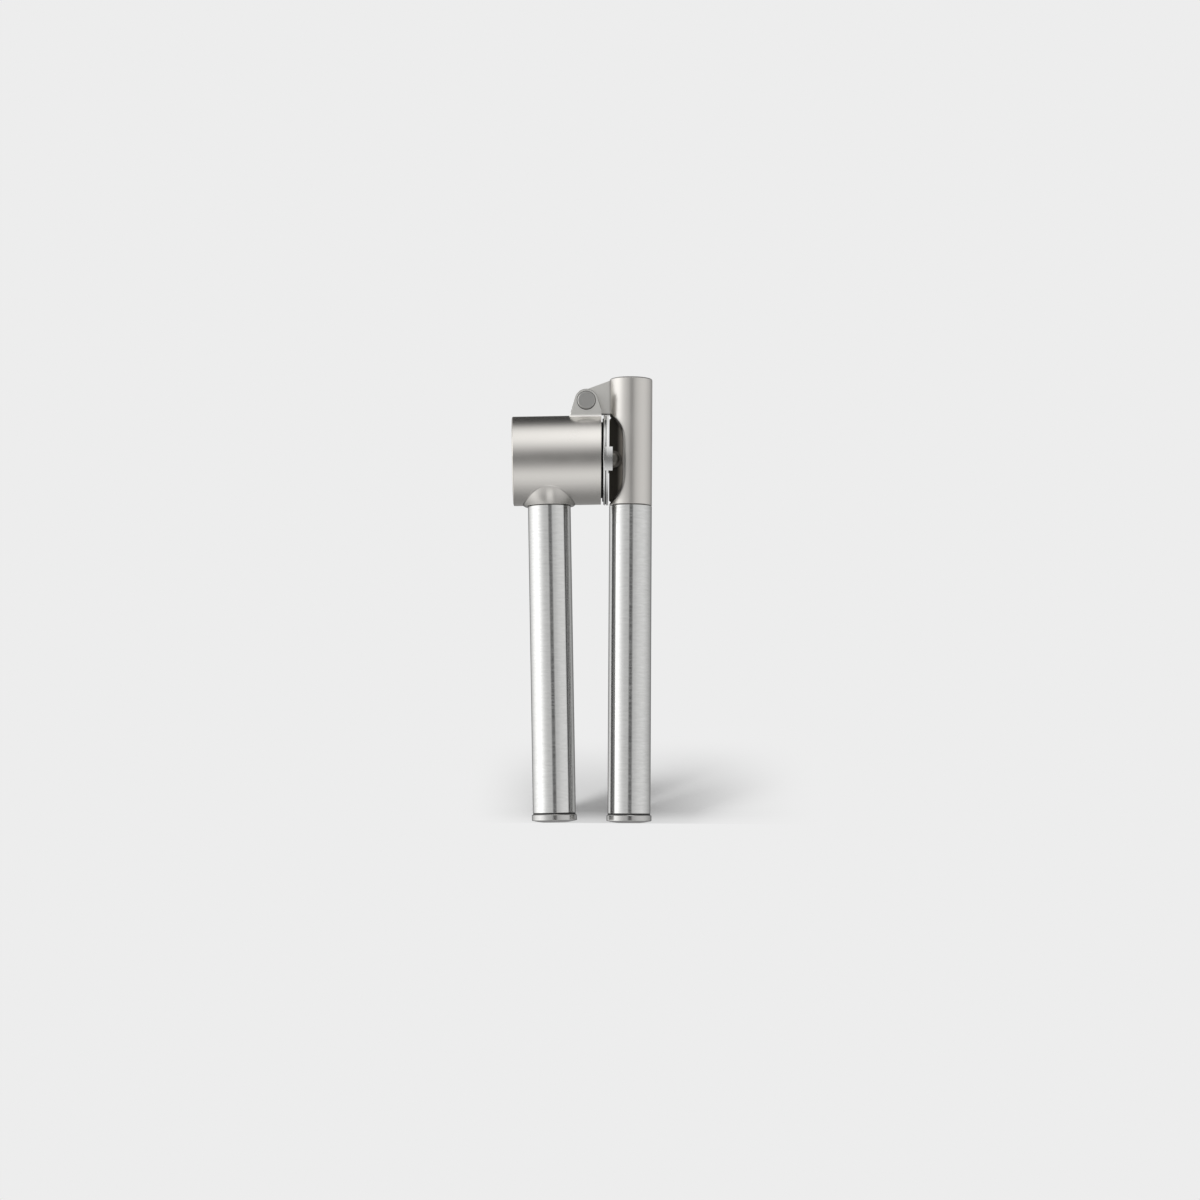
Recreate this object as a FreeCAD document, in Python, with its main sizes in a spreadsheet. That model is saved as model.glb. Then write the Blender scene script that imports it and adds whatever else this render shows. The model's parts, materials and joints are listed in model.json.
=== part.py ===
import FreeCAD, Part
import math
import os
import re
import Sketcher
from FreeCAD import Placement, Rotation, Vector

# A garlic press that stands on the ends of its two tubular handles, hinge uppermost.
# Millimetres.  +Z is up, X runs from the outlet to the lever, Y runs along the hinge pin.
# Every part is drawn about the hinge pin, and is then lifted to the pin's place.  The chamber
# and its handle are drawn upright and leaned by handle_lean about the pin.
SIZES = {
    # The hinge
    "pin_across": 1.3895,
    "pin_height": 162.5,
    "handle_lean": 1.35,
    "pin_radius": 2.0,
    "pin_head_radius": 3.4,
    "pin_head_height": 1.0,
    "pin_tail_radius": 1.3,
    "pin_tail_length": 0.6,
    "counterbore_radius": 3.7,
    "counterbore_depth": 0.35,
    "bush_radius": 2.8,
    "running_gap": 0.03,
    "tongue_half": 2.5,
    "tongue_radius": 4.55,
    "tongue_slope": 20.7,
    "ear_inside": 3.0,
    "ear_outside": 6.6,
    "ear_radius": 4.5,
    "ear_slant": 17.3,
    "ear_foot": 9.0,
    "ear_floor": 4.8,
    "ear_fillet": 1.6,
    "ear_bevel": 0.2,
    "washer_radius": 3.9,
    "washer_thick": 0.42,
    # The two handles
    "lever_reach": 17.3,
    "chamber_handle_reach": 15.05,
    "tube_radius": 8.25,
    "tube_wall": 1.2,
    "lever_tube": 118.8,
    "chamber_tube": 118.45,
    "lever_joint": 40.2,
    "chamber_joint": 40.15,
    "joint_bevel": 0.25,
    "spigot_radius": 6.95,
    "spigot_length": 8.0,
    "rod_radius": 2.5,
    "lever_rod_depth": 8.2,
    "chamber_rod_depth": 7.8,
    "gasket_thick": 0.45,
    "cap_radius": 8.65,
    "cap_side": 2.3,
    "cap_dome": 0.75,
    "cap_flat": 4.0,
    "cap_boss_length": 6.0,
    # The lever's head
    "head_top": 9.25,
    "head_round": 0.6,
    "scoop_radius": 17.4,
    "scoop_depth": 5.0,
    "scoop_corner": 8.0,
    "scoop_round": 1.6,
    "plunger_pivot": 10.5,
    "rib_face": 8.95,
    "rib_reach": 15.5,
    "rib_step": 0.7,
    "lug_half": 2.0,
    "lug_radius": 3.0,
    # The chamber
    "chamber_radius": 17.3,
    "chamber_drop": 22.45,
    "outlet_reach": 28.87,
    "outlet_radius": 14.2,
    "outlet_flare": 1.0,
    "rim_round": 0.5,
    "mouth_reach": 5.85,
    "bore_drop": 22.4,
    "seat_radius": 15.1,
    "seat_depth": 15.2,
    "mouth_bevel": 0.5,
    "dome_radius": 13.6,
    "dome_rise": 9.62,
    "dome_fillet": 0.8,
    # The sieve insert
    "cup_radius": 14.7,
    "cup_wall": 0.7,
    "cup_depth": 14.0,
    "cup_corner": 1.6,
    "neck_gap": 0.45,
    "neck_radius": 16.1,
    "flange_gap": 0.9,
    "flange_radius": 17.5,
    "lip_reach": 2.75,
    "lip_thick": 0.9,
    "groove_reach": 1.95,
    "groove_depth": 0.4,
    "tab_reach": 4.35,
    "tab_arc": 30.2,
    "tab_turn": 5.0,
    "hole_radius": 0.9,
    "hole_pitch": 2.85,
    # The plunger
    "plate_depth": 13.0,
    "plate_radius": 12.9,
    "plate_back_radius": 11.3,
    "plate_thick": 4.5,
    "plate_web": 3.0,
    "plate_rim": 1.6,
    "bracket_thick": 1.2,
    "bracket_half": 4.3,
    "bracket_length": 8.4,
    "cheek_inside": 2.3,
    "cheek_outside": 3.5,
    "cheek_radius": 3.3,
    "pivot_radius": 1.5,
    "pivot_head_radius": 2.5,
    "pivot_head_height": 0.7,
    "rivet_radius": 1.25,
    "rivet_head_radius": 2.0,
    "rivet_head_height": 0.8,
    "rivet_depth": 2.2,
    "rivet_offset": 6.1,
}

doc = FreeCAD.newDocument("garlic_press")
sheet = doc.addObject("Spreadsheet::Sheet", "dims")
for row, (alias, value) in enumerate(SIZES.items(), start=1):
    sheet.set(f"A{row}", alias)
    sheet.set(f"B{row}", str(value))
    sheet.setAlias(f"B{row}", alias)
doc.recompute()

PARTS = []


def bound(formula):
    """The formula with each dimension's name turned into its cell in the sheet."""
    return re.sub(r"[a-z_]+", lambda word: f"dims.{word[0]}" if word[0] in SIZES else word[0], formula)


def value_of(formula):
    return float(sheet.evalExpression(bound(formula)))


def new_part(name, across="0", up="0", leans=False):
    """A body whose own zero is at (across, up) from the hinge pin."""
    body = doc.addObject("PartDesign::Body", name)
    body.Label = name
    lean = "handle_lean" if leans else "0"
    body.Placement = Placement(Vector(0, 0, 0), Rotation(Vector(0, -1, 0), value_of(lean)))
    shift_x = f"pin_across + ({across}) * cos({lean}) - ({up}) * sin({lean})"
    shift_z = f"pin_height + ({across}) * sin({lean}) + ({up}) * cos({lean})"
    body.setExpression("Placement.Base.x", bound(shift_x))
    body.setExpression("Placement.Base.z", bound(shift_z))
    if leans:
        body.setExpression("Placement.Rotation.Angle", bound(lean))
    PARTS.append(body)
    return body


def new_sketch(body, name, plane="XZ_Plane", across="0", up="0", turn="0"):
    """A sketch on one of the body's planes, whose own zero is moved and turned in that plane."""
    sketch = body.newObject("Sketcher::SketchObject", name)
    origin_plane = [item for item in body.Origin.OriginFeatures if item.Role == plane][0]
    sketch.AttachmentSupport = [(origin_plane, "")]
    sketch.MapMode = "FlatFace"
    turned = Rotation(Vector(0, 0, 1), value_of(turn))
    sketch.AttachmentOffset = Placement(Vector(value_of(across), value_of(up), 0), turned)
    sketch.setExpression("AttachmentOffset.Base.x", bound(across))
    sketch.setExpression("AttachmentOffset.Base.y", bound(up))
    return sketch


def place_point(sketch, piece, end, across, up):
    """Fixes one end of a piece of the sketch by two dimensions from the sketch's zero."""
    for kind, formula in (("DistanceX", across), ("DistanceY", up)):
        number = value_of(formula)
        index = sketch.addConstraint(Sketcher.Constraint(kind, -1, 1, piece, end, number))
        sketch.setExpression(f"Constraints[{index}]", bound(formula))


def draw_outline(sketch, corners):
    """A closed outline.  A corner is (across, up), reached by a straight line, or
    (across, up, radius), reached by an arc: centre on the left if the radius is above zero."""
    first = sketch.GeometryCount
    spots = [Vector(value_of(corner[0]), value_of(corner[1]), 0) for corner in corners]
    for number, corner in enumerate(corners):
        start, end = spots[number - 1], spots[number]
        if len(corner) == 2:
            sketch.addGeometry(Part.LineSegment(start, end), False)
            continue
        radius = value_of(corner[2])
        half = (end - start) * 0.5
        side = Vector(-half.y, half.x, 0).normalize()
        rise = math.sqrt(max(radius * radius - half.Length ** 2, 0.0))
        centre = start + half + side * math.copysign(rise, radius)
        middle = centre - side * radius
        sketch.addGeometry(Part.Arc(start, middle, end), False)
    for number, corner in enumerate(corners):
        piece = first + number
        following = first + (number + 1) % len(corners)
        forward = len(corner) == 2 or value_of(corner[2]) > 0
        after = corners[(number + 1) % len(corners)]
        next_forward = len(after) == 2 or value_of(after[2]) > 0
        piece_end = 2 if forward else 1
        next_start = 1 if next_forward else 2
        sketch.addConstraint(Sketcher.Constraint("Coincident", piece, piece_end, following, next_start))
        place_point(sketch, piece, piece_end, corner[0], corner[1])
        if len(corner) == 3:
            size = abs(value_of(corner[2]))
            index = sketch.addConstraint(Sketcher.Constraint("Radius", piece, size))
            sketch.setExpression(f"Constraints[{index}]", f"abs({bound(corner[2])})")


def draw_circle(sketch, radius, across="0", up="0"):
    spot = Vector(value_of(across), value_of(up), 0)
    piece = sketch.addGeometry(Part.Circle(spot, Vector(0, 0, 1), value_of(radius)), False)
    index = sketch.addConstraint(Sketcher.Constraint("Radius", piece, value_of(radius)))
    sketch.setExpression(f"Constraints[{index}]", bound(radius))
    place_point(sketch, piece, 3, across, up)


def turn_profile(body, name, corners, axis="V_Axis", cut=False, plane="XZ_Plane", angle=None, **frame):
    """Revolves a profile about its sketch's own axis, adding it or cutting it away."""
    sketch = new_sketch(body, name + "_sketch", plane, **frame)
    draw_outline(sketch, corners)
    feature = body.newObject("PartDesign::Groove" if cut else "PartDesign::Revolution", name)
    feature.Profile = sketch
    feature.ReferenceAxis = (sketch, [axis])
    feature.Angle = 360
    if angle:
        feature.Midplane = True
        feature.setExpression("Angle", bound(angle))
    sketch.Visibility = False
    return feature


def pad_symmetric(body, name, half_width, corners=None, circle=None, cut=False, **frame):
    """Pads or pockets an outline to half_width on both sides of its plane."""
    sketch = new_sketch(body, name + "_sketch", **frame)
    if corners:
        draw_outline(sketch, corners)
    else:
        draw_circle(sketch, circle)
    feature = body.newObject("PartDesign::Pocket" if cut else "PartDesign::Pad", name)
    feature.Profile = sketch
    feature.SideType = "Symmetric"
    feature.setExpression("Length", bound(f"2 * ({half_width})"))
    return feature


def pad_between(body, name, near, far, circles, plane="YZ_Plane", cut=False):
    """Pads or pockets circles between two distances along the normal of their plane."""
    sketch = new_sketch(body, name + "_sketch", plane)
    sketch.setExpression("AttachmentOffset.Base.z", bound(near))
    for circle in circles:
        draw_circle(sketch, *circle)
    feature = body.newObject("PartDesign::Pocket" if cut else "PartDesign::Pad", name)
    feature.Profile = sketch
    feature.Reversed = cut
    feature.setExpression("Length", bound(f"({far}) - ({near})"))
    return feature


def soften(body, name, radius, wanted, kind="Fillet"):
    """Rounds or bevels the edges of the body for which wanted(edge) is true."""
    doc.recompute()
    base = body.Tip
    edges = [f"Edge{number}" for number, edge in enumerate(base.Shape.Edges, start=1) if wanted(edge)]
    if not edges:
        raise RuntimeError(f"{name}: no edge was found to soften")
    feature = body.newObject("PartDesign::" + kind, name)
    feature.Base = (base, edges)
    feature.setExpression("Radius" if kind == "Fillet" else "Size", bound(radius))
    return feature


def surfaces_of(body, edge):
    """The kinds of surface that meet at an edge, as a sorted list."""
    faces = body.Tip.Shape.ancestorsOfType(edge, Part.Face)
    return sorted(type(face.Surface).__name__ for face in faces)


# ---- the handles -------------------------------------------------------------------------

def make_handle(side, reach, joint, length, rod_depth, leans):
    """A tube, held between its casting and its end cap by a long tie rod."""
    foot = f"{joint} + {length}"
    seat = f"{foot} + gasket_thick"

    tube = new_part(f"{side}_handle_tube", across=reach, up=f"-({foot})", leans=leans)
    inside = "tube_radius - tube_wall"
    turn_profile(tube, "wall", [
        (inside, "0"),
        ("tube_radius - joint_bevel", "0"),
        ("tube_radius", "joint_bevel"),
        ("tube_radius", f"{length} - joint_bevel"),
        ("tube_radius - joint_bevel", length),
        (inside, length),
    ])

    gasket = new_part(f"{side}_handle_gasket", across=reach, up=f"-({seat})", leans=leans)
    turn_profile(gasket, "ring", [
        ("spigot_radius", "0"),
        ("tube_radius - 0.1", "0"),
        ("tube_radius - 0.1", "gasket_thick"),
        ("spigot_radius", "gasket_thick"),
    ])

    cap = new_part(f"{side}_handle_end_cap", across=reach, up=f"-({seat})", leans=leans)
    turn_profile(cap, "disc", [
        ("0", "-cap_side - cap_dome"),
        ("cap_flat", "-cap_side - cap_dome"),
        ("cap_radius - 0.3", "-cap_side", "3 * cap_radius"),
        ("cap_radius", "0.3 - cap_side", "0.3"),
        ("cap_radius", "-joint_bevel"),
        ("cap_radius - joint_bevel", "0"),
        ("spigot_radius", "0"),
        ("spigot_radius", "cap_boss_length"),
        ("rod_radius", "cap_boss_length"),
        ("rod_radius", "0"),
        ("0", "0"),
    ])

    rod = new_part(f"{side}_handle_tie_rod", across=reach, up=f"-({seat})", leans=leans)
    rod_top = f"{length} + gasket_thick - spigot_length + {rod_depth}"
    turn_profile(rod, "shank", [
        ("0", "0"),
        ("rod_radius", "0"),
        ("rod_radius", f"{rod_top}"),
        ("0", f"{rod_top}"),
    ])


# ---- the lever's head --------------------------------------------------------------------

def make_lever_head():
    """The casting at the top of the lever: a round column, a tongue to the hinge, a scoop that
    clears the sieve's lip, and down the middle of the scoop a rib whose lug carries the plunger."""
    head = new_part("lever_head")
    socket = "-lever_joint"
    turn_profile(head, "column", [
        ("0", f"{socket} - spigot_length + lever_rod_depth"),
        ("rod_radius", f"{socket} - spigot_length + lever_rod_depth"),
        ("rod_radius", f"{socket} - spigot_length"),
        ("spigot_radius", f"{socket} - spigot_length"),
        ("spigot_radius", socket),
        ("tube_radius - joint_bevel", socket),
        ("tube_radius", f"{socket} + joint_bevel"),
        ("tube_radius", "head_top - head_round"),
        ("tube_radius - head_round", "head_top", "head_round"),
        ("0", "head_top"),
    ], across="lever_reach")

    lean_x, lean_z = "tongue_radius * sin(tongue_slope)", "tongue_radius * cos(tongue_slope)"
    pad_symmetric(head, "tongue", "tongue_half", [
        ("lever_reach", "-tongue_radius"),
        ("lever_reach", "head_top - head_round"),
        ("(head_top - head_round - tongue_radius / cos(tongue_slope)) / tan(tongue_slope)",
         "head_top - head_round"),
        (f"-{lean_x}", lean_z),
        ("-tongue_radius", "0", "tongue_radius"),
        ("0", "-tongue_radius", "tongue_radius"),
    ])

    left_side = "lever_reach - tube_radius"
    floor = f"{left_side} + scoop_depth"
    turn_profile(head, "scoop", [
        ("0", "0"),
        (floor, "0"),
        (floor, "scoop_radius - scoop_corner"),
        (f"{floor} - scoop_corner", "scoop_radius", "scoop_corner"),
        ("0", "scoop_radius"),
    ], axis="H_Axis", cut=True, up="-bore_drop")

    def scoop_edge(edge):
        box = edge.BoundBox
        high_enough = box.ZMin > -value_of("lever_joint") + 0.3
        in_scoop = box.XMax < value_of(floor) + 0.1 and box.ZMax < -value_of("tongue_radius") - 0.1
        return in_scoop and high_enough and "Cylinder" in surfaces_of(head, edge)

    soften(head, "scoop_rounding", "scoop_round", scoop_edge)

    pad_symmetric(head, "rib", "lug_half", [
        (f"{floor} + 1", "scoop_radius"),
        ("rib_face + rib_step", "scoop_radius"),
        ("rib_face + rib_step", "rib_reach + rib_step"),
        ("rib_face", "rib_reach"),
        ("rib_face", "-rib_reach"),
        ("rib_face + rib_step", "-rib_reach - rib_step"),
        ("rib_face + rib_step", "-scoop_radius"),
        (f"{floor} + 1", "-scoop_radius"),
    ], up="-bore_drop")
    pad_symmetric(head, "lug", "lug_half", [
        (f"{floor} + 1 - plunger_pivot", "lug_radius + 0.8"),
        ("0", "lug_radius"),
        ("-lug_radius", "0", "lug_radius"),
        ("0", "-lug_radius", "lug_radius"),
        (f"{floor} + 1 - plunger_pivot", "-lug_radius - 0.8"),
    ], across="plunger_pivot", up="-bore_drop")
    pad_symmetric(head, "plunger_pivot_hole", "lug_half + 1", circle="pivot_radius + running_gap",
                  cut=True, across="plunger_pivot", up="-bore_drop")
    pad_symmetric(head, "bush_hole", "tongue_half + 1", circle="bush_radius", cut=True)


# ---- the chamber -------------------------------------------------------------------------

def make_chamber():
    """The casting that holds the sieve: a short wide cylinder lying across the top of its
    handle, with two ears for the hinge above and a domed socket for the handle below."""
    chamber = new_part("chamber_body", leans=True)
    turn_profile(chamber, "cylinder", [
        ("-outlet_reach", "0"),
        ("mouth_reach + 2", "0"),
        ("mouth_reach + 2", "chamber_radius"),
        ("rim_round - outlet_reach", "chamber_radius"),
        ("-outlet_reach", "chamber_radius - rim_round", "rim_round"),
    ], axis="H_Axis", up="-chamber_drop")

    side_x, side_z = "ear_radius * cos(ear_slant)", "ear_radius * sin(ear_slant)"
    foot_x = "(ear_radius + ear_foot * sin(ear_slant)) / cos(ear_slant)"
    pad_symmetric(chamber, "ears", "ear_outside", [
        (f"-{foot_x}", "-ear_foot"),
        (foot_x, "-ear_foot"),
        (side_x, side_z),
        ("0", "ear_radius", "ear_radius"),
        (f"-{side_x}", side_z, "ear_radius"),
    ])

    dome_foot = "sqrt(dome_radius * dome_radius - dome_rise * dome_rise)"
    turn_profile(chamber, "socket_dome", [
        ("0", "-dome_rise"),
        (dome_foot, "-dome_rise"),
        ("dome_radius", "0", "dome_radius"),
        ("0", "dome_radius", "dome_radius"),
    ], across="-chamber_handle_reach", up="dome_rise - chamber_joint")

    def root_edge(edge):
        kinds = surfaces_of(chamber, edge)
        box = edge.BoundBox
        at_ears = kinds == ["Cylinder", "Plane"] and -7 < box.ZMin and box.ZMax < -4.6
        return at_ears and box.XMax - box.XMin > 5

    def dome_edge(edge):
        return surfaces_of(chamber, edge) == ["Cylinder", "Sphere"]

    def ear_face_edge(edge):
        box = edge.BoundBox
        outside = value_of("ear_outside")
        flat = box.YMax - box.YMin < 0.01 and abs(abs(box.YMin) - outside) < 0.01
        return flat and box.ZMax > -4.6

    soften(chamber, "ear_roots", "ear_fillet", root_edge)
    soften(chamber, "dome_root", "dome_fillet", dome_edge)
    soften(chamber, "ear_edges", "ear_bevel", ear_face_edge, kind="Chamfer")

    turn_profile(chamber, "spigot", [
        ("rod_radius", "0"),
        ("spigot_radius", "0"),
        ("spigot_radius", "-spigot_length"),
        ("rod_radius", "-spigot_length"),
    ], across="-chamber_handle_reach", up="-chamber_joint")

    pad_symmetric(chamber, "tongue_slot", "ear_inside", [
        ("-2 * ear_foot", "-ear_floor"),
        ("2 * ear_foot", "-ear_floor"),
        ("2 * ear_foot", "2 * ear_foot"),
        ("-2 * ear_foot", "2 * ear_foot"),
    ], cut=True)

    turn_profile(chamber, "outlet", [
        ("-outlet_reach - 1", "0"),
        ("-outlet_reach / 4", "0"),
        ("-outlet_reach / 4", "outlet_radius"),
        ("outlet_flare - outlet_reach", "outlet_radius"),
        ("-outlet_reach", "outlet_radius + outlet_flare", "-outlet_flare"),
        ("-outlet_reach - 1", "outlet_radius + outlet_flare"),
    ], axis="H_Axis", cut=True, up="-chamber_drop")

    turn_profile(chamber, "seat", [
        ("-seat_depth", "0"),
        ("2 * seat_depth", "0"),
        ("2 * seat_depth", "2 * seat_radius"),
        ("0", "2 * seat_radius"),
        ("0", "seat_radius + mouth_bevel"),
        ("-mouth_bevel", "seat_radius"),
        ("-seat_depth", "seat_radius"),
    ], axis="H_Axis", cut=True, turn="-handle_lean",
        across="mouth_reach * cos(handle_lean) - bore_drop * sin(handle_lean)",
        up="-mouth_reach * sin(handle_lean) - bore_drop * cos(handle_lean)")

    pad_symmetric(chamber, "pin_hole", "2 * ear_outside", circle="pin_radius", cut=True)
    for side, near in (("front", "ear_outside - counterbore_depth"), ("rear", "-ear_outside - 2")):
        pad_between(chamber, f"{side}_counterbore", near, f"{near} + counterbore_depth + 2",
                    [("counterbore_radius",)], plane="XZ_Plane", cut=True)
    return chamber


# ---- the hinge ---------------------------------------------------------------------------

def make_hinge():
    """A headed pin fixed in the ears, closed by a cap, that runs in a bush in the tongue."""
    face = "ear_outside - counterbore_depth"
    pin = new_part("hinge_pin", leans=True)
    turn_profile(pin, "pin", [
        ("0", f"-({face}) - pin_head_height"),
        ("pin_head_radius - 0.25", f"-({face}) - pin_head_height"),
        ("pin_head_radius", f"0.25 - ({face}) - pin_head_height"),
        ("pin_head_radius", f"-({face})"),
        ("pin_radius", f"-({face})"),
        ("pin_radius", face),
        ("pin_tail_radius", face),
        ("pin_tail_radius", f"{face} + pin_tail_length"),
        ("0", f"{face} + pin_tail_length"),
    ], plane="XY_Plane")

    cap = new_part("hinge_pin_cap", leans=True)
    turn_profile(cap, "cap", [
        ("0", f"{face} + pin_tail_length"),
        ("pin_tail_radius", f"{face} + pin_tail_length"),
        ("pin_tail_radius", face),
        ("pin_head_radius", face),
        ("pin_head_radius", f"{face} + pin_head_height - 0.25"),
        ("pin_head_radius - 0.25", f"{face} + pin_head_height"),
        ("0", f"{face} + pin_head_height"),
    ], plane="XY_Plane")

    bush = new_part("hinge_bush")
    turn_profile(bush, "sleeve", [
        ("pin_radius + running_gap", "-tongue_half"),
        ("bush_radius", "-tongue_half"),
        ("bush_radius", "tongue_half"),
        ("pin_radius + running_gap", "tongue_half"),
    ], plane="XY_Plane")

    for side, inner in (("front", "-ear_inside"), ("rear", "ear_inside - washer_thick")):
        washer = new_part(f"hinge_washer_{side}", leans=True)
        turn_profile(washer, "ring", [
            ("pin_radius", inner),
            ("washer_radius", inner),
            ("washer_radius", f"{inner} + washer_thick"),
            ("pin_radius", f"{inner} + washer_thick"),
        ], plane="XY_Plane")


# ---- the sieve insert --------------------------------------------------------------------

def make_sieve_insert():
    """A drawn cup with a perforated floor, a stepped neck, a flange, a lip and two grip tabs."""
    sieve = new_part("sieve_insert", across="mouth_reach", up="-bore_drop")
    turned = Rotation(Vector(1, 0, 0), value_of("tab_turn"))
    sieve.Placement = Placement(sieve.Placement.Base, turned)
    sieve.setExpression("Placement.Rotation.Angle", bound("tab_turn"))
    inside = "cup_radius - cup_wall"
    flange = "flange_gap + cup_wall"
    turn_profile(sieve, "cup", [
        ("-cup_depth", "0"),
        ("-cup_depth", f"{inside} - cup_corner + cup_wall"),
        ("cup_corner - cup_wall - cup_depth", inside, "cup_wall - cup_corner"),
        (flange, inside),
        (flange, "flange_radius - lip_thick"),
        ("lip_reach", "flange_radius - lip_thick"),
        ("lip_reach", "flange_radius"),
        ("groove_reach", "flange_radius"),
        ("groove_reach", "flange_radius - groove_depth"),
        (flange, "flange_radius - groove_depth"),
        (flange, "flange_radius"),
        ("flange_gap + 0.3", "flange_radius"),
        ("flange_gap", "flange_radius - 0.3", "-0.3"),
        ("flange_gap", "neck_radius"),
        ("neck_gap", "neck_radius"),
        ("neck_gap", "cup_radius"),
        ("cup_corner - cup_wall - cup_depth", "cup_radius"),
        ("-cup_depth - cup_wall", "cup_radius - cup_corner", "cup_corner"),
        ("-cup_depth - cup_wall", "0"),
    ], axis="H_Axis")
    for side, sign in (("front", "-1"), ("rear", "1")):
        turn_profile(sieve, f"{side}_tab", [
            (flange, f"{sign} * (flange_radius - lip_thick)"),
            ("tab_reach", f"{sign} * (flange_radius - lip_thick)"),
            ("tab_reach", f"{sign} * flange_radius"),
            (flange, f"{sign} * flange_radius"),
        ], axis="H_Axis", plane="XY_Plane", angle="tab_arc")

    for ring in range(5):
        hole = pad_between(sieve, f"hole_{ring}", "-cup_depth - 2 * cup_wall", "-cup_depth + cup_wall",
                           [("hole_radius", f"{ring} * hole_pitch")], cut=True)
        if ring == 0:
            continue
        doc.recompute()
        pattern = sieve.newObject("PartDesign::PolarPattern", f"hole_ring_{ring}")
        pattern.Originals = [hole]
        x_axis = [item for item in sieve.Origin.OriginFeatures if item.Role == "X_Axis"][0]
        pattern.Axis = (x_axis, [""])
        pattern.Angle = 360
        pattern.Occurrences = 6 * ring
        sieve.Tip = pattern
    return sieve


# ---- the plunger -------------------------------------------------------------------------

def make_plunger():
    """A tapered plate riveted to a forked bracket, which rocks on a rivet through the lug."""
    home = {"across": "mouth_reach", "up": "-bore_drop"}
    back = "plate_web - plate_depth"
    bracket_back = f"{back} + bracket_thick"
    pivot = "plunger_pivot - mouth_reach"

    plate = new_part("plunger_plate", **home)
    turn_profile(plate, "plate", [
        ("-plate_depth", "0"),
        ("-plate_depth", "plate_radius - 0.4"),
        ("0.4 - plate_depth", "plate_radius"),
        ("plate_thick - plate_depth", "plate_back_radius"),
        ("plate_thick - plate_depth", "plate_back_radius - plate_rim"),
        (back, "plate_back_radius - plate_rim"),
        (back, "0"),
    ], axis="H_Axis")
    pad_between(plate, "rivet_holes", f"{back} - rivet_depth", f"{back} + 1",
                [("rivet_radius", "0", "rivet_offset"), ("rivet_radius", "0", "-rivet_offset")], cut=True)

    bracket = new_part("plunger_bracket", **home)
    pad_symmetric(bracket, "base", "bracket_half", [
        (back, "-bracket_length"),
        (bracket_back, "-bracket_length"),
        (bracket_back, "bracket_length"),
        (back, "bracket_length"),
    ])
    pad_symmetric(bracket, "cheeks", "cheek_outside", [
        (back, "-cheek_radius - 0.4"),
        (pivot, "-cheek_radius"),
        (f"{pivot} + cheek_radius", "0", "cheek_radius"),
        (pivot, "cheek_radius", "cheek_radius"),
        (back, "cheek_radius + 0.4"),
    ])
    pad_symmetric(bracket, "fork", "cheek_inside", [
        (bracket_back, "-2 * cheek_radius"),
        (f"{pivot} + 2 * cheek_radius", "-2 * cheek_radius"),
        (f"{pivot} + 2 * cheek_radius", "2 * cheek_radius"),
        (bracket_back, "2 * cheek_radius"),
    ], cut=True)
    pad_symmetric(bracket, "pivot_hole", "2 * cheek_outside", circle="pivot_radius", cut=True,
                  across=pivot)
    pad_between(bracket, "rivet_holes", f"{back} - 1", f"{bracket_back} + 1",
                [("rivet_radius", "0", "rivet_offset"), ("rivet_radius", "0", "-rivet_offset")], cut=True)

    pivot_rivet = new_part("plunger_pivot_rivet", across="plunger_pivot", up="-bore_drop")
    turn_profile(pivot_rivet, "rivet", [
        ("0", "-cheek_outside - pivot_head_height"),
        ("pivot_radius", "-cheek_outside - pivot_head_height"),
        ("pivot_head_radius", "-cheek_outside", "1.5 * pivot_head_radius"),
        ("pivot_radius", "-cheek_outside"),
        ("pivot_radius", "cheek_outside"),
        ("pivot_head_radius", "cheek_outside"),
        ("pivot_radius", "cheek_outside + pivot_head_height", "1.5 * pivot_head_radius"),
        ("0", "cheek_outside + pivot_head_height"),
    ], plane="XY_Plane")

    make_plate_rivets("plate_depth - plate_web + rivet_depth - mouth_reach")


def make_plate_rivets(tip_depth):
    """Two round-headed rivets, one solid each, that hold the bracket to the plate."""
    length = value_of("rivet_depth + bracket_thick")
    solids = []
    for sign in (-1, 1):
        foot = Vector(-value_of(tip_depth), 0, sign * value_of("rivet_offset") - value_of("bore_drop"))
        shank = Part.makeCylinder(value_of("rivet_radius"), length, foot, Vector(1, 0, 0))
        seat = foot + Vector(length, 0, 0)
        head = Part.makeCone(value_of("rivet_head_radius"), value_of("rivet_radius"),
                             value_of("rivet_head_height"), seat, Vector(1, 0, 0))
        solids.append(shank.fuse(head).removeSplitter())
    rivets = doc.addObject("Part::Feature", "plunger_plate_rivets")
    rivets.Label = "plunger_plate_rivets"
    rivets.Shape = Part.makeCompound(solids)
    rivets.setExpression("Placement.Base.x", bound("pin_across"))
    rivets.setExpression("Placement.Base.z", bound("pin_height"))
    PARTS.append(rivets)


def write_parts():
    """Checks every object and writes one STEP file for each part."""
    doc.recompute()
    for item in doc.Objects:
        if "Invalid" in item.State or "Error" in item.State:
            raise RuntimeError(f"{item.Name} did not recompute: {item.State}")
    for part in PARTS:
        if part.Shape.isNull() or not part.Shape.isValid():
            raise RuntimeError(f"{part.Label} has no valid shape")
    os.makedirs("parts", exist_ok=True)
    whole = FreeCAD.BoundBox()
    for part in PARTS:
        part.Shape.exportStep(f"parts/{part.Label}.step")
        whole.add(part.Shape.BoundBox)
        print(f"{part.Label}: {len(part.Shape.Solids)} solid, {part.Shape.Volume:.1f} mm3")
    print(whole)


make_handle("lever", "lever_reach", "lever_joint", "lever_tube", "lever_rod_depth", leans=False)
make_handle("chamber", "-chamber_handle_reach", "chamber_joint", "chamber_tube", "chamber_rod_depth",
            leans=True)
make_lever_head()
make_chamber()
make_hinge()
make_sieve_insert()
make_plunger()
write_parts()
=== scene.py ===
import json
import math

import bpy
from mathutils import Matrix, Vector


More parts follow.
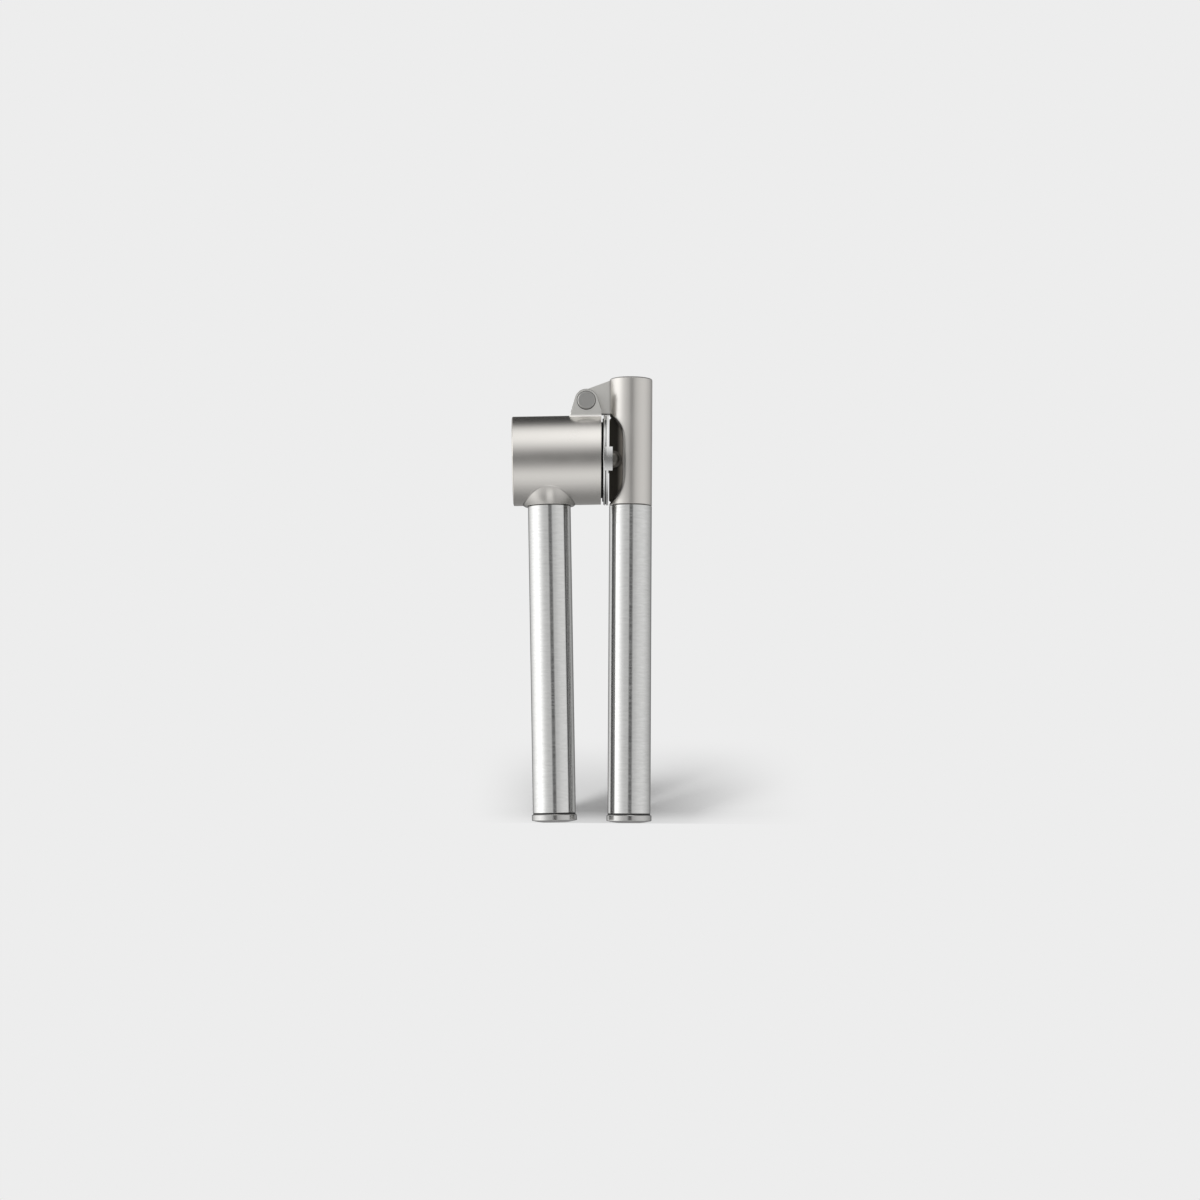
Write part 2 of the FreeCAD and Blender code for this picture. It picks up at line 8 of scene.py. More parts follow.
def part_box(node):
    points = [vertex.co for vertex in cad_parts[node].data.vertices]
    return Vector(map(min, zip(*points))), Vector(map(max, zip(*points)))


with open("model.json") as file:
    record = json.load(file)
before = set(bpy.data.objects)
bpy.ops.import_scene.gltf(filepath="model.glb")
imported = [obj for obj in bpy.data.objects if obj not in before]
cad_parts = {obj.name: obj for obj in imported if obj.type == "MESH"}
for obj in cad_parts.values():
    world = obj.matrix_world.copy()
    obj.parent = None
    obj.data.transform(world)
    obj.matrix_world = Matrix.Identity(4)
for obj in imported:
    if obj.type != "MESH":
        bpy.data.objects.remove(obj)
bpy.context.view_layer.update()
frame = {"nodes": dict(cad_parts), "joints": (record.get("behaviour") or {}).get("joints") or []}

MM = 0.001

# ---- places and sizes, read from the frame -----------------------------------------------


def joint_place(name):
    return Vector(next(item for item in frame["joints"] if item["name"] == name)["pos_m"])


def middle(node):
    low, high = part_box(node)
    return (Vector(low) + Vector(high)) / 2


def half_size(node, direction):
    low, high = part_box(node)
    return (high[direction] - low[direction]) / 2


PIN = joint_place("main_pivot")
CUP = joint_place("sieve_slide")
LEVER_AXIS = middle("lever_handle_tube")
LEVER_TUBE_TOP = Vector((LEVER_AXIS.x, 0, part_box("lever_handle_tube")[1][2]))
HEAD_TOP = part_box("lever_head")[1][2]
TUBE_RADIUS = half_size("lever_handle_tube", 0)
PIN_HEAD_RADIUS = half_size("hinge_pin", 0)
FLANGE_RADIUS = half_size("sieve_insert", 1)

# ---- sizes that the frame's boxes don't give, as they are in the CAD ---------------------

LEAN = math.radians(1.35)         # the chamber and its handle, about the pin
HANDLE_FROM_PIN = -15.05 * MM     # across to the axis of the chamber's handle
JOINT_FROM_PIN = -40.15 * MM      # up to the end of the casting on that handle
DOME_RISE = 9.62 * MM             # from that end up to the middle of the dome
DOME_RADIUS = 13.6 * MM
EAR_OUTSIDE = 6.6 * MM            # from the middle out to an ear's face
SCOOP_RADIUS = 17.4 * MM
SCOOP_FLOOR = 5.0 * MM - TUBE_RADIUS  # across from the lever's axis
RIB_HALF = 2.0 * MM
FLANGE_BACK = 0.9 * MM            # across from the cup's mouth, as are the groove's two sides
GROOVE_START = 1.55 * MM
GROOVE_END = 1.95 * MM


def beside_pin(across, up):
    """A place on the chamber's side, measured from the hinge pin as the casting leans."""
    return PIN + Matrix.Rotation(-LEAN, 3, "Y") @ Vector((across, 0, up))


CHAMBER_TUBE_TOP = beside_pin(HANDLE_FROM_PIN, JOINT_FROM_PIN)
DOME = beside_pin(HANDLE_FROM_PIN, JOINT_FROM_PIN + DOME_RISE)

# ---- colours -----------------------------------------------------------------------------

CAST_STEEL = (0.66, 0.64, 0.61)
EAR_FACE = (0.77, 0.76, 0.73)
EAR_EDGE_SHADE = (0.3, 0.295, 0.28)
PIN_GAP_SHADE = (0.04, 0.04, 0.04)
DOME_FLANK_SHADE = (0.38, 0.37, 0.35)
TONGUE_FACE = (0.74, 0.73, 0.70)
HEAD_RIM = (0.33, 0.32, 0.305)
SCOOP_PAINTED_SHADE = (0.07, 0.065, 0.055)
SCOOP_PAINTED_LIGHT = (0.8, 0.75, 0.67)
SCOOP_EDGE_HIGHLIGHT = (0.95, 0.93, 0.89)
TUBE_STEEL = (0.68, 0.68, 0.67)
TUBE_SEAM = (0.12, 0.12, 0.115)
TUBE_PAINTED_REFLECTION = (0.2, 0.2, 0.2)
SIEVE_STEEL = (0.68, 0.68, 0.67)
SIEVE_LIP_HIGHLIGHT = (0.97, 0.97, 0.96)
SIEVE_PAINTED_SHADE = (0.02, 0.02, 0.02)
CAP_STEEL = (0.5, 0.495, 0.485)
ROD_STEEL = (0.5, 0.5, 0.5)
PIN_STEEL = (0.5, 0.495, 0.48)
RIVET_PAINTED_SHADE = (0.22, 0.21, 0.19)
PLATE_STEEL = (0.5, 0.49, 0.48)
BRACKET_PAINTED_SHADE = (0.16, 0.15, 0.135)
GASKET_RUBBER = (0.012, 0.012, 0.012)
BEARING_PLASTIC = (0.05, 0.05, 0.05)
FLOOR_PAPER = (0.615, 0.615, 0.615)
BACKGROUND = 0.847  # the pale grey that the object stands against


def scaled(color, factor):
    return tuple(min(1.0, channel * factor) for channel in color)


def shifted(color, amount):
    return tuple(channel + amount for channel in color)


# ---- material building blocks ------------------------------------------------------------

def new_material(name, base_color, roughness, metallic=1.0):
    """A material with its Principled shader, ready for procedural inputs."""
    material = bpy.data.materials.new(name)
    material.use_nodes = True
    shader = material.node_tree.nodes["Principled BSDF"]
    shader.inputs["Base Color"].default_value = (*base_color, 1)
    shader.inputs["Roughness"].default_value = roughness
    shader.inputs["Metallic"].default_value = metallic
    return material, shader


def add_node(material, kind, **settings):
    node = material.node_tree.nodes.new(kind)
    for key, value in settings.items():
        setattr(node, key, value)
    return node


def link(material, output, target):
    material.node_tree.links.new(output, target)


def finish_shader(material, shader, color, rough):
    link(material, color, shader.inputs["Base Color"])
    link(material, rough, shader.inputs["Roughness"])


def math_node(material, operation, first, second=None, third=None):
    node = add_node(material, "ShaderNodeMath", operation=operation)
    for index, value in enumerate((first, second, third)):
        if isinstance(value, (int, float)):
            node.inputs[index].default_value = value
        elif value is not None:
            link(material, value, node.inputs[index])
    return node.outputs[0]


def magnitude(material, value):
    return math_node(material, "ABSOLUTE", value)


def local_place(material, origin=(0, 0, 0), scale=(1, 1, 1)):
    """The point's place on its own object, counted from origin and stretched by scale."""
    coordinates = add_node(material, "ShaderNodeTexCoord")
    shift = add_node(material, "ShaderNodeVectorMath", operation="SUBTRACT")
    shift.inputs[1].default_value = origin
    stretch = add_node(material, "ShaderNodeVectorMath", operation="MULTIPLY")
    stretch.inputs[1].default_value = scale
    link(material, coordinates.outputs["Object"], shift.inputs[0])
    link(material, shift.outputs[0], stretch.inputs[0])
    return stretch.outputs[0]


def place_parts(material, origin):
    """The point's three distances from origin, as sockets."""
    parts = add_node(material, "ShaderNodeSeparateXYZ")
    link(material, local_place(material, origin=origin), parts.inputs[0])
    return parts.outputs


def from_axis(material, first, second):
    """The distance from an axis, out of the two distances square to it."""
    squares = math_node(material, "MULTIPLY", first, first)
    return math_node(material, "SQRT", math_node(material, "MULTIPLY_ADD", second, second, squares))


def from_point(material, first, second, third):
    """The distance from a point, out of the three distances along the axes."""
    squares = math_node(material, "MULTIPLY", first, first)
    squares = math_node(material, "MULTIPLY_ADD", second, second, squares)
    return math_node(material, "SQRT", math_node(material, "MULTIPLY_ADD", third, third, squares))


def noise(material, place, scale=1.0, detail=3.0, roughness=0.5):
    node = add_node(material, "ShaderNodeTexNoise")
    node.inputs["Scale"].default_value = scale
    node.inputs["Detail"].default_value = detail
    node.inputs["Roughness"].default_value = roughness
    link(material, place, node.inputs["Vector"])
    return node.outputs["Fac"]


def remap(material, value, low, high, new_low, new_high):
    """A smooth change from new_low to new_high, as the value goes from low to high."""
    node = add_node(material, "ShaderNodeMapRange")
    node.interpolation_type = "SMOOTHSTEP"
    link(material, value, node.inputs["Value"])
    for socket, number in (("From Min", low), ("From Max", high), ("To Min", new_low), ("To Max", new_high)):
        node.inputs[socket].default_value = number
    return node.outputs["Result"]


def past(material, value, start, end):
    """A mask that rises from 0 to 1 between two distances."""
    return remap(material, value, start, end, 0.0, 1.0)


def short_of(material, value, start, end):
    """A mask that falls from 1 to 0 between two distances."""
    return remap(material, value, start, end, 1.0, 0.0)


def both(material, *masks):
    total = masks[0]
    for mask in masks[1:]:
        total = math_node(material, "MULTIPLY", total, mask)
    return total


def either(material, first, second):
    return math_node(material, "MAXIMUM", first, second)


def mix_color(material, factor, first, second):
    node = add_node(material, "ShaderNodeMix", data_type="RGBA")
    link(material, factor, node.inputs["Factor"])
    for socket, value in (("A", first), ("B", second)):
        target = next(item for item in node.inputs if item.name == socket and item.type == "RGBA")
        if isinstance(value, tuple):
            target.default_value = (*value, 1)
        else:
            link(material, value, target)
    return next(item for item in node.outputs if item.type == "RGBA")


def mix_value(material, factor, first, second):
    node = add_node(material, "ShaderNodeMix", data_type="FLOAT")
    link(material, factor, node.inputs["Factor"])
    for socket, value in (("A", first), ("B", second)):
        if isinstance(value, float):
            node.inputs[socket].default_value = value
        else:
            link(material, value, node.inputs[socket])
    return node.outputs["Result"]


def blend_shaders(material, factor, first, second):
    node = add_node(material, "ShaderNodeMixShader")
    link(material, factor, node.inputs[0])
    link(material, first.outputs[0], node.inputs[1])
    link(material, second.outputs[0], node.inputs[2])
    return node


def finish_where(material, mask, color, rough, new_color, added_rough):
    """Changes the finish to new_color, and makes it rougher, where the mask is one."""
    return (mix_color(material, mask, color, new_color),
            math_node(material, "MULTIPLY_ADD", mask, added_rough, rough))


def add_bump(material, shader, height, distance, strength=1.0, before=None):
    """A bump of that many metres, on top of an earlier bump where there is one."""
    node = add_node(material, "ShaderNodeBump")
    node.inputs["Strength"].default_value = strength
    node.inputs["Distance"].default_value = distance
    link(material, height, node.inputs["Height"])
    if before:
        link(material, before, node.inputs["Normal"])
    link(material, node.outputs["Normal"], shader.inputs["Normal"])
    return node.outputs["Normal"]


UPRIGHT = (0.03, 0.05, 1.0)  # near enough the handles' axis, and never square to a face
LEVEL = (1.0, 0.05, 0.03)    # the chamber's axis, likewise


def brush(material, shader, axis, amount, turn=0.0):
    """Fine marks that run round an axis and draw highlights out along it, or with a quarter
    turn run along the axis and draw them out round it."""
    direction = add_node(material, "ShaderNodeVectorTransform")
    direction.vector_type = "VECTOR"
    direction.convert_from = "OBJECT"
    direction.convert_to = "WORLD"
    direction.inputs["Vector"].default_value = axis
    link(material, direction.outputs["Vector"], shader.inputs["Tangent"])
    shader.inputs["Anisotropic"].default_value = amount
    shader.inputs["Anisotropic Rotation"].default_value = turn


# ---- the castings ------------------------------------------------------------------------

def blasted_steel(name, axis, roughness, local_finish):
    """The castings: warm, evenly satin, with a fine blasted grain and faint finishing marks."""
    material, shader = new_material(name, CAST_STEEL, roughness)
    place = local_place(material)
    mottle = noise(material, place, 120, 3)
    grain = noise(material, place, 1800, 2, 0.6)
    color = mix_color(material, mottle, shifted(CAST_STEEL, -0.015), shifted(CAST_STEEL, 0.015))
    rough = remap(material, mottle, 0.2, 0.8, roughness - 0.01, roughness + 0.01)
    color, rough = local_finish(material, color, rough)
    finish_shader(material, shader, color, rough)
    brush(material, shader, axis, 0.5, turn=0.25)
    add_bump(material, shader, grain, 0.002 * MM, 0.25)
    return material


def lever_finish(material, color, rough):
    """The tongue's cheeks are ground flat and bright. Inside the scoop, and on the rib, the casting is
    painted dark and rougher as shade in that recess; towards the scoop's floor the shade lifts to a
    painted light band, and a painted highlight runs along the scoop's rounded edge. The round at the
    column's top is duller."""
    across, along, up = place_parts(material, (LEVER_AXIS.x, 0, CUP.z))
    radius = from_axis(material, across, along)
    cheeks = both(material, short_of(material, across, -TUBE_RADIUS - 0.25 * MM, -TUBE_RADIUS - 0.05 * MM),
                  past(material, up, 12 * MM, 13 * MM))
    color, rough = finish_where(material, cheeks, color, rough, TONGUE_FACE, 0.15)

    # Painted shade: the scoop and the rib's face are painted dark and rougher, as shade in the recess.
    height = magnitude(material, up)
    scoop = both(material, short_of(material, height, SCOOP_RADIUS - 0.8 * MM, SCOOP_RADIUS - 0.2 * MM),
                 short_of(material, across, 0.0, 1.0 * MM))
    deep = short_of(material, radius, 4.8 * MM, TUBE_RADIUS - 0.2 * MM)
    rib = short_of(material, magnitude(material, along), RIB_HALF, RIB_HALF + 0.1 * MM)
    inside = both(material, either(material, deep, rib), scoop)
    color, rough = finish_where(material, inside, color, rough, SCOOP_PAINTED_SHADE, 0.25)
    # Painted light: the painted shade lifts to a light band towards the scoop's floor.
    lighter = both(material, inside, past(material, across, SCOOP_FLOOR - 2.25 * MM, SCOOP_FLOOR + 0.65 * MM))
    color, rough = finish_where(material, lighter, color, rough, SCOOP_PAINTED_LIGHT, 0.0)
    # Painted highlight along the scoop's rounded edge.
    edge_highlight = both(material, short_of(material, radius, TUBE_RADIUS - 0.09 * MM, TUBE_RADIUS - 0.02 * MM),
                past(material, across, SCOOP_FLOOR - 0.05 * MM, SCOOP_FLOOR + 0.15 * MM), scoop)
    color, rough = finish_where(material, edge_highlight, color, rough, SCOOP_EDGE_HIGHLIGHT, 0.35)

    below_top = math_node(material, "SUBTRACT", HEAD_TOP - CUP.z, up)
    rim = both(material, short_of(material, below_top, 0.4 * MM, 0.55 * MM),
               past(material, below_top, 0.01 * MM, 0.05 * MM))
    return finish_where(material, rim, color, rough, HEAD_RIM, 0.1)


def chamber_finish(material, color, rough):
    """The ears' faces are ground flat and bright, with painted shade on the bevel round them and a
    painted shadow ring round each end of the pin. The flanks of the dome over the handle get painted shade."""
    across, along, up = place_parts(material, PIN)
    outward = magnitude(material, along)
    ear = past(material, up, -6.3 * MM, -5.9 * MM)
    face = both(material, ear, past(material, outward, EAR_OUTSIDE - 0.5 * MM, EAR_OUTSIDE - 0.3 * MM))
    color, rough = finish_where(material, face, color, rough, EAR_FACE, 0.15)
    # Painted shade: a dark band on the bevel round each ear's face.
    bevel = both(material, ear, past(material, outward, EAR_OUTSIDE - 0.22 * MM, EAR_OUTSIDE - 0.18 * MM),
                 short_of(material, outward, EAR_OUTSIDE - 0.03 * MM, EAR_OUTSIDE - 0.005 * MM),
                 past(material, up, -4.9 * MM, -4.5 * MM))
    color, rough = finish_where(material, bevel, color, rough, EAR_EDGE_SHADE, 0.1)

    # Painted shade: the dome's flanks are darkened in colour only; their roughness is unchanged.
    aside, toward, above = place_parts(material, DOME)
    from_dome = from_point(material, aside, above, toward)
    flanks = both(material, short_of(material, from_dome, DOME_RADIUS + 0.05 * MM, DOME_RADIUS + 0.2 * MM),
                  short_of(material, above, -5.0 * MM, -3.0 * MM),
                  past(material, magnitude(material, aside), 3.0 * MM, 8.5 * MM))
    color, rough = finish_where(material, flanks, color, rough, DOME_FLANK_SHADE, 0.0)

    # Painted shadow: a dark ring in the gap round each end of the pin.
    groove = short_of(material, from_axis(material, across, up),
                      PIN_HEAD_RADIUS + 0.18 * MM, PIN_HEAD_RADIUS + 0.26 * MM)
    return finish_where(material, groove, color, rough, PIN_GAP_SHADE, 0.3)


# ---- the other materials -----------------------------------------------------------------

def brushed_tube(name, top, lean, reflection_side, reflection_middle, reflection_half):
    """The handles: thin-walled tube, ground round and polished, with fine marks round it, a dark
    seam where it meets its casting, and a painted reflection of the other handle: a dark line down
    the side that faces it. Top is the middle of the casting's end. The line's middle lies the given
    distance from the tube's axis, to the right where its side is 1 and to the left where it is -1."""
    material, shader = new_material(name, TUBE_STEEL, 0.12)
    marks = noise(material, local_place(material, scale=(250, 250, 3200)), 1, 3, 0.65)
    streaks = noise(material, local_place(material, scale=(260, 260, 1400)), 1, 4, 0.6)
    clouds = noise(material, local_place(material), 90, 3)
    color = mix_color(material, streaks, shifted(TUBE_STEEL, -0.1), shifted(TUBE_STEEL, 0.1))
    rough = math_node(material, "MULTIPLY_ADD", clouds, 0.04, remap(material, marks, 0.3, 0.7, 0.08, 0.22))

    across, along, up = place_parts(material, top)
    below = math_node(material, "MULTIPLY_ADD", across, -math.tan(lean), up)
    seam = past(material, below, -0.3 * MM, -0.22 * MM)
    color, rough = finish_where(material, seam, color, rough, TUBE_SEAM, 0.2)

    # Painted reflection: a dark line down the side facing the other handle, standing in for its reflection.
    square_to_tube = math_node(material, "MULTIPLY_ADD", up, math.tan(lean), across)
    inward = math_node(material, "MULTIPLY", reflection_side, square_to_tube)
    off_line = magnitude(material, math_node(material, "SUBTRACT", inward, reflection_middle))
    painted_reflection = both(material, remap(material, off_line, reflection_half - 0.2 * MM, reflection_half + 0.2 * MM, 0.85, 0.0),
                short_of(material, along, -2 * MM, 0.0))
    color, rough = finish_where(material, painted_reflection, color, rough, TUBE_PAINTED_REFLECTION, 0.05)

    finish_shader(material, shader, color, rough)
    brush(material, shader, UPRIGHT, 0.9)
    add_bump(material, shader, marks, 0.004 * MM, 0.5)
    return material


def turned_steel(name, center, axis, base_color, roughness):
    """Steel with concentric tool marks about an axis through center: "X", "Y" or "Z"."""
    material, shader = new_material(name, base_color, roughness)
    flat = {"X": (0, 1, 1), "Y": (1, 0, 1), "Z": (1, 1, 0)}[axis]
    pitch = 0.4 * MM
    distance = add_node(material, "ShaderNodeVectorMath", operation="LENGTH")
    link(material, local_place(material, origin=center, scale=flat), distance.inputs[0])
    turns = math_node(material, "MULTIPLY", distance.outputs["Value"], 2 * math.pi / pitch)
    rings = math_node(material, "SINE", turns)
    fine = noise(material, local_place(material), 2600, 3)
    color = mix_color(material, fine, base_color, scaled(base_color, 1.12))
    rough = remap(material, fine, 0.3, 0.7, roughness * 0.85, roughness * 1.2)
    finish_shader(material, shader, color, rough)
    first = add_bump(material, shader, rings, 0.004 * MM, 0.4)
    add_bump(material, shader, fine, 0.003 * MM, 0.3, before=first)
    return material


def drawn_sheet(name, base_color, roughness, local_finish=None):
    """Pressed stainless sheet: nearly mirror bright, with faint drawing lines."""
    material, shader = new_material(name, base_color, roughness)
    lines = noise(material, local_place(material, scale=(3000, 250, 250)), 1, 3, 0.6)
    clouds = noise(material, local_place(material), 220, 3)
    color = mix_color(material, clouds, base_color, scaled(base_color, 1.05))
    rough = remap(material, lines, 0.3, 0.7, roughness * 0.9, roughness * 1.1)
    if local_finish:
        color, rough = local_finish(material, color, rough)
    finish_shader(material, shader, color, rough)
    add_bump(material, shader, lines, 0.002 * MM, 0.3)
    return material


def sieve_finish(material, color, rough):
    """Behind the sieve's flange, and in the groove round its lip, the metal is painted dark and rougher
    as shade. The upper part of the lip carries a painted highlight."""
    across, along, up = place_parts(material, CUP)
    radius = from_axis(material, along, up)
    # Painted highlight on the upper part of the lip.
    lip = both(material, past(material, radius, FLANGE_RADIUS - 0.3 * MM, FLANGE_RADIUS - 0.2 * MM),
               past(material, across, GROOVE_END + 0.05 * MM, GROOVE_END + 0.1 * MM),
               past(material, up, -2.0 * MM, 4.0 * MM))
    color, rough = finish_where(material, lip, color, rough, SIEVE_LIP_HIGHLIGHT, 0.4)
    # Painted shade behind the flange and in the groove round the lip.
    behind = both(material, short_of(material, radius, FLANGE_RADIUS - 0.7 * MM, FLANGE_RADIUS - 0.3 * MM),
                  short_of(material, across, FLANGE_BACK + 0.05 * MM, FLANGE_BACK + 0.15 * MM))
    groove = both(material, short_of(material, radius, FLANGE_RADIUS - 0.2 * MM, FLANGE_RADIUS - 0.1 * MM),
                  past(material, across, GROOVE_START, GROOVE_START + 0.07 * MM),
                  short_of(material, across, GROOVE_END - 0.02 * MM, GROOVE_END + 0.05 * MM))
    return finish_where(material, either(material, behind, groove), color, rough, SIEVE_PAINTED_SHADE, 0.4)


def soft_solid(name, base_color, roughness):
    """Rubber or moulded plastic with a fine even grain."""
    material, shader = new_material(name, base_color, roughness, metallic=0.0)
    grain = noise(material, local_place(material), 4200, 3)
    color = mix_color(material, grain, base_color, shifted(scaled(base_color, 1.6), 0.004))
    rough = remap(material, grain, 0.3, 0.7, roughness - 0.06, roughness + 0.06)
    finish_shader(material, shader, color, rough)
    add_bump(material, shader, grain, 0.02 * MM, 0.5)
    return material


def paint(material, *nodes):
    for name in nodes:
        mesh = frame["nodes"][name].data
        mesh.materials.clear()
        mesh.materials.append(material)


def paint_everything():
    paint(blasted_steel("cast_lever", UPRIGHT, 0.3, lever_finish), "lever_head")
    paint(blasted_steel("cast_chamber", LEVEL, 0.265, chamber_finish), "chamber_body")
    paint(brushed_tube("lever_tube", LEVER_TUBE_TOP, 0.0, -1.0, 6.55 * MM, 0.45 * MM), "lever_handle_tube")
    paint(brushed_tube("chamber_tube", CHAMBER_TUBE_TOP, LEAN, 1.0, 6.15 * MM, 0.65 * MM),
          "chamber_handle_tube")
    for side in ("lever", "chamber"):
        cap = f"{side}_handle_end_cap"
        paint(turned_steel(f"{side}_cap_steel", middle(cap), "Z", CAP_STEEL, 0.19), cap)
        rod = f"{side}_handle_tie_rod"
        paint(turned_steel(f"{side}_rod_steel", middle(rod), "Z", ROD_STEEL, 0.35), rod)
    paint(turned_steel("pin_steel", PIN, "Y", PIN_STEEL, 0.34), "hinge_pin", "hinge_pin_cap")
    # The pivot rivet's dark colour is painted shade, so it sits in the scoop's shade.
    paint(turned_steel("pivot_steel", CUP, "Y", RIVET_PAINTED_SHADE, 0.45), "plunger_pivot_rivet")
    paint(turned_steel("plate_steel", CUP, "X", PLATE_STEEL, 0.3), "plunger_plate_rivets", "plunger_plate")
    paint(drawn_sheet("sieve_steel", SIEVE_STEEL, 0.22, sieve_finish), "sieve_insert")
    # The bracket's dark colour is painted shade, so it sits in the scoop's shade.
    paint(drawn_sheet("bracket_steel", BRACKET_PAINTED_SHADE, 0.45), "plunger_bracket")
    paint(soft_solid("gasket_rubber", GASKET_RUBBER, 0.6), "lever_handle_gasket", "chamber_handle_gasket")
    paint(soft_solid("bearing_plastic", BEARING_PLASTIC, 0.45),
          "hinge_bush", "hinge_washer_front", "hinge_washer_rear")


# ---- floor -------------------------------------------------------------------------------

FLOOR_SLOPE = math.radians(23)
FLOOR_FRONT, FLOOR_BACK, FLOOR_SIDE = -0.06, 0.35, 0.35
FLOOR_CURVE = [(9.3, 0.0), (10.0, 0.5), (10.8, 1.7), (11.7, 3.4), (12.8, 4.9), (14.5, 6.1), (17.0, 7.2)]


def floor_mesh():
    """Flat under the press, curved up just behind it along FLOOR_CURVE (back and up, in
    millimetres), then straight on up at FLOOR_SLOPE."""
    curve = [(back * MM, up * MM) for back, up in FLOOR_CURVE]
    curve_back, curve_up = curve[-1]
    far_up = curve_up + (FLOOR_BACK - curve_back) * math.tan(FLOOR_SLOPE)
    profile = [(FLOOR_FRONT, 0.0), *curve, (FLOOR_BACK, far_up)]
    verts = [(right, back, up) for back, up in profile for right in (-FLOOR_SIDE, FLOOR_SIDE)]
    faces = [(2 * row, 2 * row + 1, 2 * row + 3, 2 * row + 2) for row in range(len(profile) - 1)]
    mesh = bpy.data.meshes.new("floor")
    mesh.from_pydata(verts, [], faces)
    return mesh


def floor_paper():
    """Paper that is lit as if it all had the one slope and fades into the background all round.
    Its back can be seen through."""
    material, shader = new_material("floor_paper", FLOOR_PAPER, 0.9, metallic=0.0)
    shader.inputs["Specular IOR Level"].default_value = 0.0
    tilted = add_node(material, "ShaderNodeCombineXYZ")
    tilted.inputs["Y"].default_value = -math.sin(FLOOR_SLOPE)
    tilted.inputs["Z"].default_value = math.cos(FLOOR_SLOPE)
    link(material, tilted.outputs[0], shader.inputs["Normal"])

    right, back, up = place_parts(material, (0, 0, 0))
    near = both(material, short_of(material, right, 10 * MM, 95 * MM),
                past(material, right, -45 * MM, -8 * MM),
                short_of(material, back, 25 * MM, 85 * MM),
                past(material, back, -50 * MM, -10 * MM),
                remap(material, up, 0.0, 6 * MM, 0.35, 1.0))
    backdrop = add_node(material, "ShaderNodeEmission")
    backdrop.inputs["Color"].default_value = (BACKGROUND, BACKGROUND, BACKGROUND, 1)
    front_face = blend_shaders(material, near, backdrop, shader)
    clear = add_node(material, "ShaderNodeBsdfTransparent")
    is_back = add_node(material, "ShaderNodeNewGeometry").outputs["Backfacing"]
    seen = blend_shaders(material, is_back, front_face, clear)
    link(material, seen.outputs[0], material.node_tree.nodes["Material Output"].inputs["Surface"])
    return material


def make_floor():
    mesh = floor_mesh()
    floor = bpy.data.objects.new("floor", mesh)
    bpy.context.collection.objects.link(floor)
    mesh.materials.append(floor_paper())
    for kind in ("diffuse", "glossy", "transmission", "shadow"):
        setattr(floor, f"visible_{kind}", False)


# ---- light -------------------------------------------------------------------------------

def make_key_light():
    """A soft box high up in front on the left. The floor shows its shadow; the steel shows the room."""
    light = bpy.data.lights.new("key", "AREA")
    light.shape = "DISK"
    light.size = 0.17
    light.energy = 4.0
    lamp = bpy.data.objects.new("key", light)
    toward = Vector((-0.63, -0.47, 1.05)).normalized()
    facing = toward.to_track_quat("Z", "Y").to_matrix().to_4x4()
    lamp.matrix_world = Matrix.Translation(toward * 0.9) @ facing
    lamp.visible_camera = False
    lamp.visible_glossy = False
    bpy.context.collection.objects.link(lamp)


# The room's brightness by the angle in degrees: round the object from the camera's side, to the
# right, and over the object from the camera's side, up.
ROOM_AROUND = [
    (-180, 0.08), (-160, 0.15), (-145, 0.6), (-122, 1.05), (-110, 1.3), (-90, 1.6), (-72, 1.7), (-58, 1.35),
    (-46, 0.95), (-30, 0.7), (-15, 0.66), (10, 0.6), (25, 0.66), (40, 0.8), (70, 0.9), (90, 0.82),
    (115, 0.6), (140, 0.4), (160, 0.12), (180, 0.08)]
ROOM_OVER = [
    (-180, 0.4), (-125, 0.26), (-100, 0.36), (-80, 0.6), (-62, 0.95), (-45, 1.15), (-32, 0.95), (-20, 0.5),
    (-8, 0.14), (2, 0.1), (12, 0.14), (24, 0.66), (38, 1.25), (50, 1.6), (65, 1.7), (78, 1.4), (88, 0.85),
    (98, 0.32), (108, 0.08), (125, 0.04), (145, 0.03), (165, 0.15), (180, 0.4)]
BRIGHTEST = 2.0
GAP_MIDDLE = 0.06  # the dark gap is a little to the right of the lens
GAP_REACH = 0.16


def brightness_along(world, angle, stops):
    """A smooth brightness over an angle in degrees, through the stops (angle, brightness)."""
    ramp = add_node(world, "ShaderNodeValToRGB")
    ramp.color_ramp.interpolation = "B_SPLINE"
    elements = ramp.color_ramp.elements
    while len(elements) > 1:
        elements.remove(elements[-1])
    for index, (degrees, level) in enumerate(stops):
        element = elements[0] if index == 0 else elements.new(1.0)
        element.position = (degrees + 180) / 360
        element.color = (level / BRIGHTEST,) * 3 + (1,)
    link(world, math_node(world, "MULTIPLY_ADD", angle, 1 / 360, 0.5), ramp.inputs["Fac"])
    return math_node(world, "MULTIPLY", ramp.outputs["Color"], BRIGHTEST)


